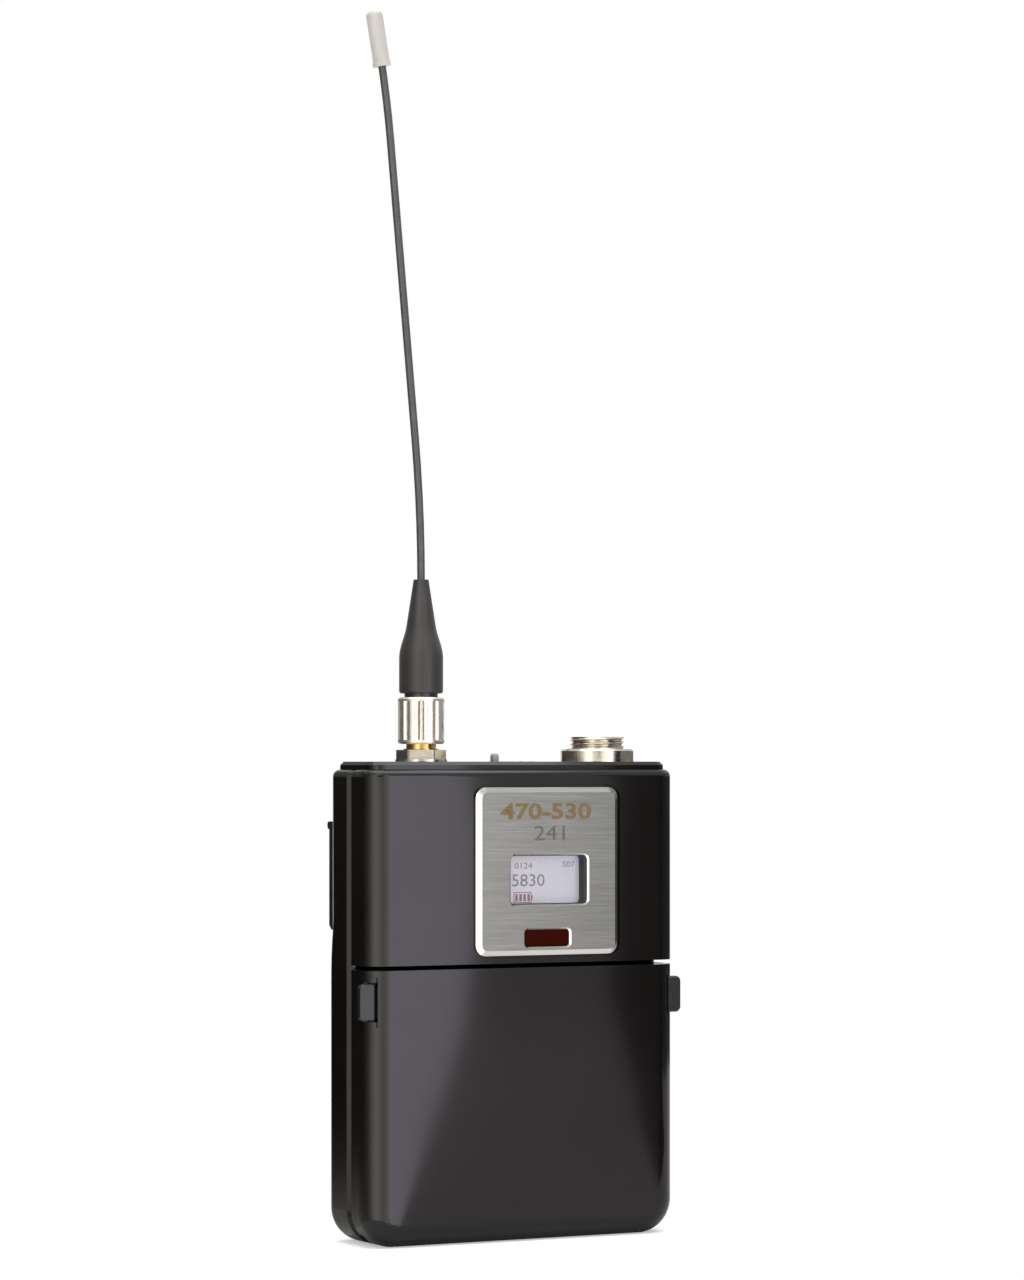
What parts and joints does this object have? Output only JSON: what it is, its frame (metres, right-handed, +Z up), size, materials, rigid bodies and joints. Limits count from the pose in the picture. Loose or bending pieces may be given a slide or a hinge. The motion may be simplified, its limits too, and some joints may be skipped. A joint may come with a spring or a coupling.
{
  "type": "wireless bodypack transmitter",
  "caption": "Belt-worn wireless bodypack transmitter: flat cast case with display bezel, hinged battery door, side latches, rear clip, whip antenna and threaded microphone input.",
  "frame": {"origin": "centre of the case's bottom face, midway across its width and midway through the upper case's depth", "axes": "+X to the right seen from the front, the display face looks along -Y, +Z up along the case and the antenna"},
  "size_m": [0.065, 0.0238, 0.2199],
  "materials": {
    "black_cast_metal": "satin black paint over cast light alloy",
    "brushed_steel": "horizontally brushed",
    "nickel": "bright nickel plate",
    "gold": "gold plate on brass",
    "black_spring_steel": "black coated spring steel",
    "black_plastic": "moulded, fine texture",
    "grey_plastic": "moulded",
    "white_plastic": "smooth",
    "boot_rubber": "moulded, dull",
    "spring_steel": "bright wire",
    "screen_glass": "clear",
    "screen_panel": "lit display panel",
    "red_window": "dark red filter",
    "circuit_board": "green solder mask",
    "cell_sleeve": "bare printed sleeve",
    "ptfe": "white insulator"
  },
  "bodies": {
    "case": {"front_housing": "black_cast_metal", "rear_housing": "black_cast_metal", "top_plate": "black_cast_metal", "bezel_plate": "brushed_steel", "display_gasket": "boot_rubber", "display_window": "screen_glass", "display_module": "screen_panel", "ir_window": "red_window", "ir_emitter": "black_plastic", "display_board": "circuit_board", "board_spacers": "nickel", "main_board": "circuit_board", "rf_shield": "nickel", "board_components": "black_plastic", "battery_cradle": "black_plastic", "battery_cell_lower": "cell_sleeve", "battery_cell_upper": "cell_sleeve", "battery_contacts": "nickel", "battery_springs": "spring_steel", "button_panel": "black_plastic", "tact_switches": "black_plastic", "button_board": "circuit_board", "door_hinge_pin": "nickel", "clip_pin": "nickel", "clip_spring": "spring_steel", "antenna_socket": "gold", "socket_washer": "nickel", "socket_hex_nut": "nickel", "socket_insulator": "ptfe", "socket_contact": "gold", "input_jack": "nickel", "input_ring": "nickel", "input_nut": "nickel", "input_insulator": "black_plastic", "input_pins": "gold", "power_switch_body": "black_plastic", "power_lamp": "screen_glass", "case_screws": "nickel"},
    "door": {"battery_door": "black_cast_metal", "latch_spring_left": "spring_steel", "latch_spring_right": "spring_steel"},
    "latch_left": {"latch_left": "black_plastic"},
    "latch_right": {"latch_right": "black_plastic"},
    "switch_knob": {"power_switch_knob": "grey_plastic"},
    "button_1": {"menu_button_1": "grey_plastic"},
    "button_2": {"menu_button_2": "grey_plastic"},
    "button_3": {"menu_button_3": "grey_plastic"},
    "button_4": {"menu_button_4": "grey_plastic"},
    "antenna": {"antenna_ferrule": "black_spring_steel", "antenna_pin": "gold", "antenna_boot": "boot_rubber", "antenna_whip": "black_spring_steel", "antenna_tip": "white_plastic"},
    "coupling_nut": {"antenna_nut": "nickel"},
    "clip": {"belt_clip": "black_spring_steel"}
  },
  "joints": [
    {"name": "door_hinge", "type": "hinge", "parent": "case", "child": "door", "pos_m": [0, -0.0025, 0.0016], "axis": [1, 0, 0], "range_deg": [0, 95]},
    {"name": "latch_left_press", "type": "slide", "parent": "door", "child": "latch_left", "axis": [1, 0, 0], "range_m": [0, 0.0012], "stiffness_N_per_m": 400, "deforming": ["latch_spring_left"]},
    {"name": "latch_right_press", "type": "slide", "parent": "door", "child": "latch_right", "axis": [-1, 0, 0], "range_m": [0, 0.0012], "stiffness_N_per_m": 400, "deforming": ["latch_spring_right"]},
    {"name": "power_slide", "type": "slide", "parent": "case", "child": "switch_knob", "axis": [1, 0, 0], "range_m": [0, 0.002]},
    {"name": "button_1_press", "type": "slide", "parent": "case", "child": "button_1", "axis": [0, 1, 0], "range_m": [0, 0.0003], "stiffness_N_per_m": 800},
    {"name": "button_2_press", "type": "slide", "parent": "case", "child": "button_2", "axis": [0, 1, 0], "range_m": [0, 0.0003], "stiffness_N_per_m": 800},
    {"name": "button_3_press", "type": "slide", "parent": "case", "child": "button_3", "axis": [0, 1, 0], "range_m": [0, 0.0003], "stiffness_N_per_m": 800},
    {"name": "button_4_press", "type": "slide", "parent": "case", "child": "button_4", "axis": [0, 1, 0], "range_m": [0, 0.0003], "stiffness_N_per_m": 800},
    {"name": "antenna_turn", "type": "hinge", "parent": "case", "child": "antenna", "pos_m": [-0.0166, 0, 0.09], "axis": [0, 0, 1], "continuous": true},
    {"name": "nut_turn", "type": "hinge", "parent": "antenna", "child": "coupling_nut", "pos_m": [-0.0166, 0, 0.093], "axis": [0, 0, 1], "continuous": true},
    {"name": "clip_squeeze", "type": "hinge", "parent": "case", "child": "clip", "pos_m": [0, 0.01045, 0.057], "axis": [1, 0, 0], "range_deg": [0, 5.5], "stiffness_Nm_per_rad": 2}
  ]
}
